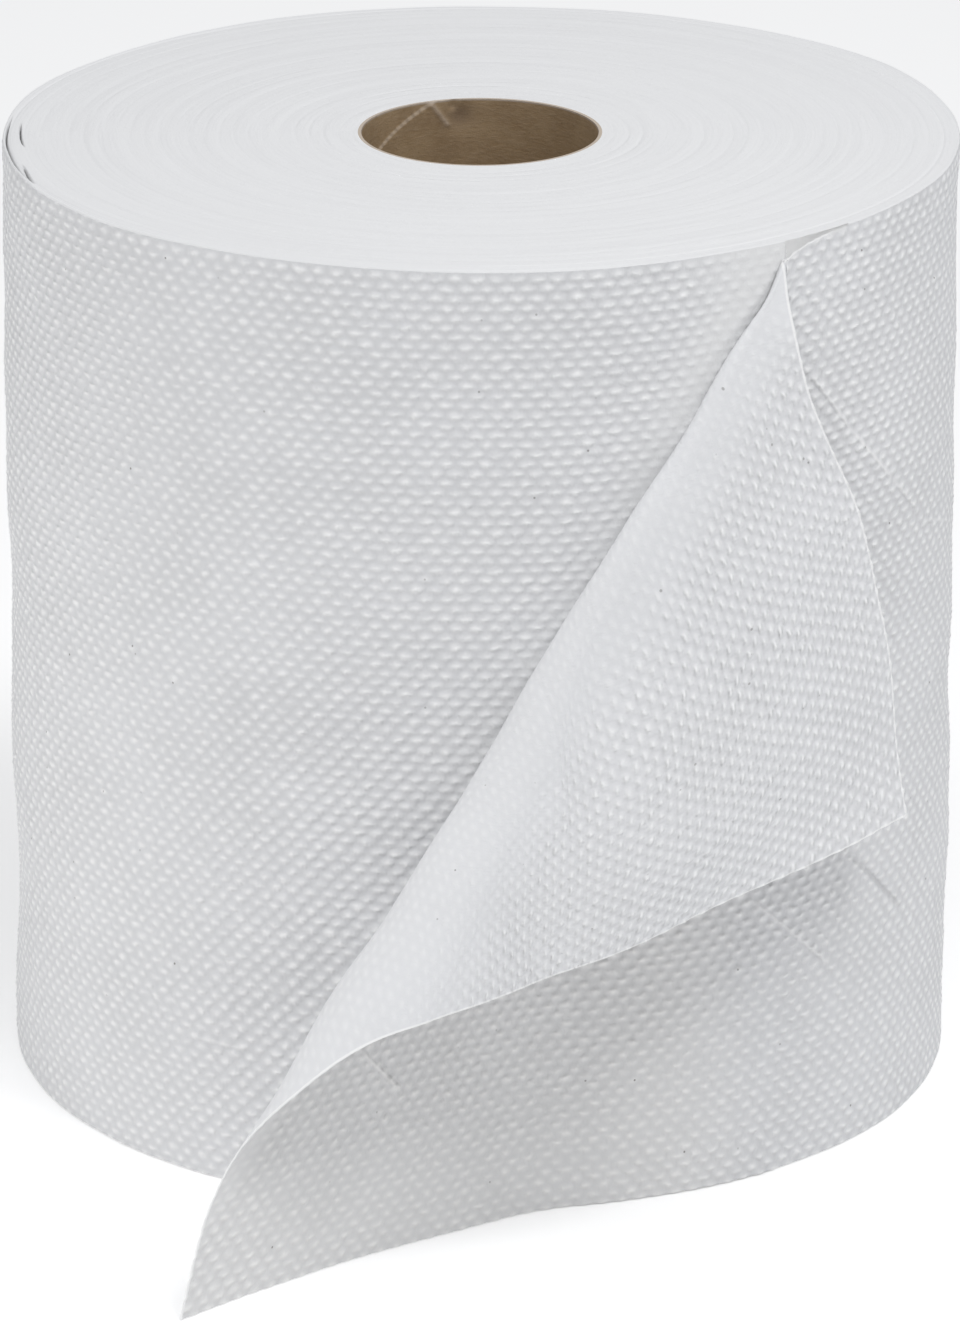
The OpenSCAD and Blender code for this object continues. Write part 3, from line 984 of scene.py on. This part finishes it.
# The core
def core_tube():
    """The core: its bore, its outer wall and the ring at each end."""
    n = CORE_COLUMNS
    low = np.arange(4, BORE_SEEN, 4)
    high = np.arange(BORE_SEEN, ROLL_H - 0.5, 0.75)
    z = np.concatenate([[0.0, 0.15], low, high, [ROLL_H - 0.4, ROLL_H - 0.15, ROLL_H]])
    phi = np.arange(n) * AROUND / n
    PH, Z = np.meshgrid(phi, z, indexing="ij")

    def inner_r(p, h):
        return CORE_R + 0.0 * p + core_relief(p, h)

    R1 = inner_r(PH, Z)
    R1 = R1 + 0.12 * np.clip(1 - np.minimum(Z, ROLL_H - Z) / 0.3, 0, 1) ** 2
    e = 0.02
    dp = (inner_r(PH + e / 25, Z) - inner_r(PH - e / 25, Z)) / (2 * e / 25 * CORE_R)
    dz = (inner_r(PH, Z + e) - inner_r(PH, Z - e)) / (2 * e)
    radial = np.stack([np.sin(PH), -np.cos(PH), 0 * PH], -1)
    along = np.stack([np.cos(PH), np.sin(PH), 0 * PH], -1)
    n_in = unit(-radial + dp[..., None] * along + dz[..., None] * np.array([0.0, 0.0, 1.0]))
    inner = radial * R1[..., None]
    inner[..., 2] = Z
    outer = radial[:, [0, -1]] * CORE_OUT_R
    outer[..., 2] = np.array([0.0, ROLL_H])[None]
    rows = len(z)
    points = [inner.reshape(-1, 3), outer.reshape(-1, 3)]
    rim = np.where((Z > ROLL_H - 0.3) | (Z < 0.2), 1.0, 0.0)
    line, dent = core_marks(PH, Z)
    marks = np.stack([rim, line, dent], -1).reshape(-1, 3)
    marks_out = np.stack([0 * outer[..., 2] + 1, 0 * outer[..., 2], 0 * outer[..., 2]], -1).reshape(-1, 3)
    base = n * rows
    faces, loops = [], []
    normals = n_in.reshape(-1, 3)
    for c in range(n):
        d = (c + 1) % n
        for k in range(rows - 1):
            f = [c * rows + k, c * rows + k + 1, d * rows + k + 1, d * rows + k]
            faces.append(f)
            loops.extend(tuple(normals[x]) for x in f)
        o0, o1, q0, q1 = base + 2 * c, base + 2 * c + 1, base + 2 * d, base + 2 * d + 1
        faces.append([o0, q0, q1, o1])
        faces.append([c * rows + rows - 1, o1, q1, d * rows + rows - 1])
        faces.append([c * rows, d * rows, q0, o0])
        rc, rd = tuple(radial[c, 0]), tuple(radial[d, 0])
        loops.extend([rc, rd, rd, rc])
        loops.extend([(0.0, 0.0, 1.0)] * 4)
        loops.extend([(0.0, 0.0, -1.0)] * 4)
    return new_mesh("core_tube", np.concatenate(points), faces, [0] * len(faces), [KRAFT], loops,
                    {"marks": np.concatenate([marks, marks_out])})


def core_place(p, h):
    """Angle in degrees, distance below the nearest seam of the spiral ply, and the fade low in the bore."""
    a = np.degrees((p + math.pi) % AROUND - math.pi)
    below = (((ROLL_H - h) / SEAM_TURN - (a - SEAM_ANGLE) / 360.0 + 0.5) % 1.0 - 0.5) * SEAM_TURN
    return a, below, soft((h - BORE_SEEN) / 20)


def core_blot(a, h):
    """The dented patch by the rim."""
    off = (a - DENT_ANGLE + 180.0) % 360.0 - 180.0
    return np.exp(-((off / DENT_WIDE) ** 2) - ((h - DENT_H) / DENT_TALL) ** 2)


def core_line(a, h, line, width):
    """Share of a straight line in the bore, from one angle and height to another."""
    a0, h0, a1, h1 = line
    x, y = (a - a0) * BORE_DEGREE, h - h0
    dx, dy = (a1 - a0) * BORE_DEGREE, h1 - h0
    t = np.clip((x * dx + y * dy) / (dx * dx + dy * dy), 0, 1)
    return np.exp(-((np.hypot(x - t * dx, y - t * dy) / width) ** 2))


def core_relief(p, h):
    """Seam of the spiral ply, a crease and a dented patch, as a change of the bore's radius."""
    a, below, fade = core_place(p, h)
    step = -0.22 * soft((below + 0.35) / 0.7) * np.exp(-np.maximum(below, 0) / 10.0)
    crease = -0.25 * core_line(a, h, CORE_CREASE, 0.7)
    notch = 0.55 * core_line(a, h, CORE_NOTCH, 0.8)
    return np.clip(step * fade + crease + 0.5 * core_blot(a, h) + notch, -0.6, 0.7)


def core_marks(p, h):
    """Shares of the crease's line and of the dented patch, for the material."""
    a, _, _ = core_place(p, h)
    return 0.6 * core_line(a, h, CORE_CREASE, 0.5), 0.7 * core_blot(a, h)


core = core_tube()
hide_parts("core")
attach(core, "root")

right = wound_half("wound_right", 0, RIGHT_COLUMNS)
left = wound_half("wound_left", RIGHT_COLUMNS, COLUMNS)
for half in (right, left):
    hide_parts("towel")
    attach(half, "root")

tail = loose_end()
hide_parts("towel")
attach(tail, "root")

# Floor, light and camera
def floor():
    """The white floor, which isn't part of the object."""
    m, tree, bsdf = material("studio_floor")
    bsdf.inputs["Base Color"].default_value = (0.93, 0.93, 0.93, 1)
    bsdf.inputs["Roughness"].default_value = 1.0
    bsdf.inputs["Specular IOR Level"].default_value = 0.0
    seen = tree.nodes.new("ShaderNodeLightPath").outputs["Is Camera Ray"]
    wire(tree, bsdf.inputs["Emission Color"], (1, 1, 1, 1))
    wire(tree, bsdf.inputs["Emission Strength"], math_node(tree, "MULTIPLY", seen, 0.3))
    mesh = bpy.data.meshes.new("studio_floor")
    w = 12.0
    mesh.from_pydata([(-w, -w, 0), (w, -w, 0), (w, w, 0), (-w, w, 0)], [], [(0, 1, 2, 3)])
    mesh.materials.append(m)
    obj = bpy.data.objects.new("studio_floor", mesh)
    bpy.context.scene.collection.objects.link(obj)
    obj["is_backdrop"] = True


def area(name, place, at, size, power, colour=(1, 1, 1)):
    """A rectangular lamp that points at a place."""
    data = bpy.data.lights.new(name, "AREA")
    data.shape = "RECTANGLE"
    data.size, data.size_y = size
    data.energy = power
    data.color = colour
    obj = bpy.data.objects.new(name, data)
    obj.location = place
    obj.rotation_euler = (Vector(at) - Vector(place)).to_track_quat("-Z", "Y").to_euler()
    bpy.context.scene.collection.objects.link(obj)
    return obj


def surroundings():
    """White for the camera and for reflections, and a dimmer white as light."""
    world = bpy.data.worlds.new("studio")
    bpy.context.scene.world = world
    world.use_nodes = True
    tree = world.node_tree
    seen = tree.nodes["Background"]
    seen.inputs["Color"].default_value = (1, 1, 1, 1)
    seen.inputs["Strength"].default_value = 1.0
    lit = tree.nodes.new("ShaderNodeBackground")
    lit.inputs["Color"].default_value = (0.97, 0.98, 1.0, 1)
    lit.inputs["Strength"].default_value = 0.50
    path = tree.nodes.new("ShaderNodeLightPath")
    clear = math_node(tree, "MAXIMUM", path.outputs["Is Camera Ray"], path.outputs["Is Glossy Ray"])
    clear = math_node(tree, "MAXIMUM", clear, path.outputs["Is Transmission Ray"])
    choose = tree.nodes.new("ShaderNodeMixShader")
    tree.links.new(clear, choose.inputs[0])
    tree.links.new(lit.outputs[0], choose.inputs[1])
    tree.links.new(seen.outputs[0], choose.inputs[2])
    tree.links.new(choose.outputs[0], tree.nodes["World Output"].inputs["Surface"])


def photo_camera():
    """The camera as it stood for the photo: far off, with a long lens, looking down at the roll."""
    data = bpy.data.cameras.new("camera")
    data.lens = 224.2
    data.sensor_width = 36
    data.clip_start = 0.05
    camera = bpy.data.objects.new("camera", data)
    camera.location = (0.0, -1.65, 0.6762)
    camera.rotation_euler = (math.radians(70.216), 0.0, 0.0)
    bpy.context.scene.collection.objects.link(camera)
    bpy.context.scene.camera = camera


floor()
area("key", (0.6, -0.6, 1.5), (0, 0, 0.1), (0.5, 0.5), 6.5)
area("top", (0.0, -0.5, 1.2), (0, 0, 0.1), (0.4, 0.4), 2.2)
area("low_left", (-0.38, -0.22, 0.05), (0, 0, 0.1), (0.3, 0.06), 0.32, (1.0, 0.985, 0.96))
area("low_right", (0.38, -0.22, 0.05), (0, 0, 0.1), (0.3, 0.06), 0.10)

surroundings()
photo_camera()
bpy.context.scene.view_settings.view_transform = "Standard"

write_sizes("dressed", sizes)
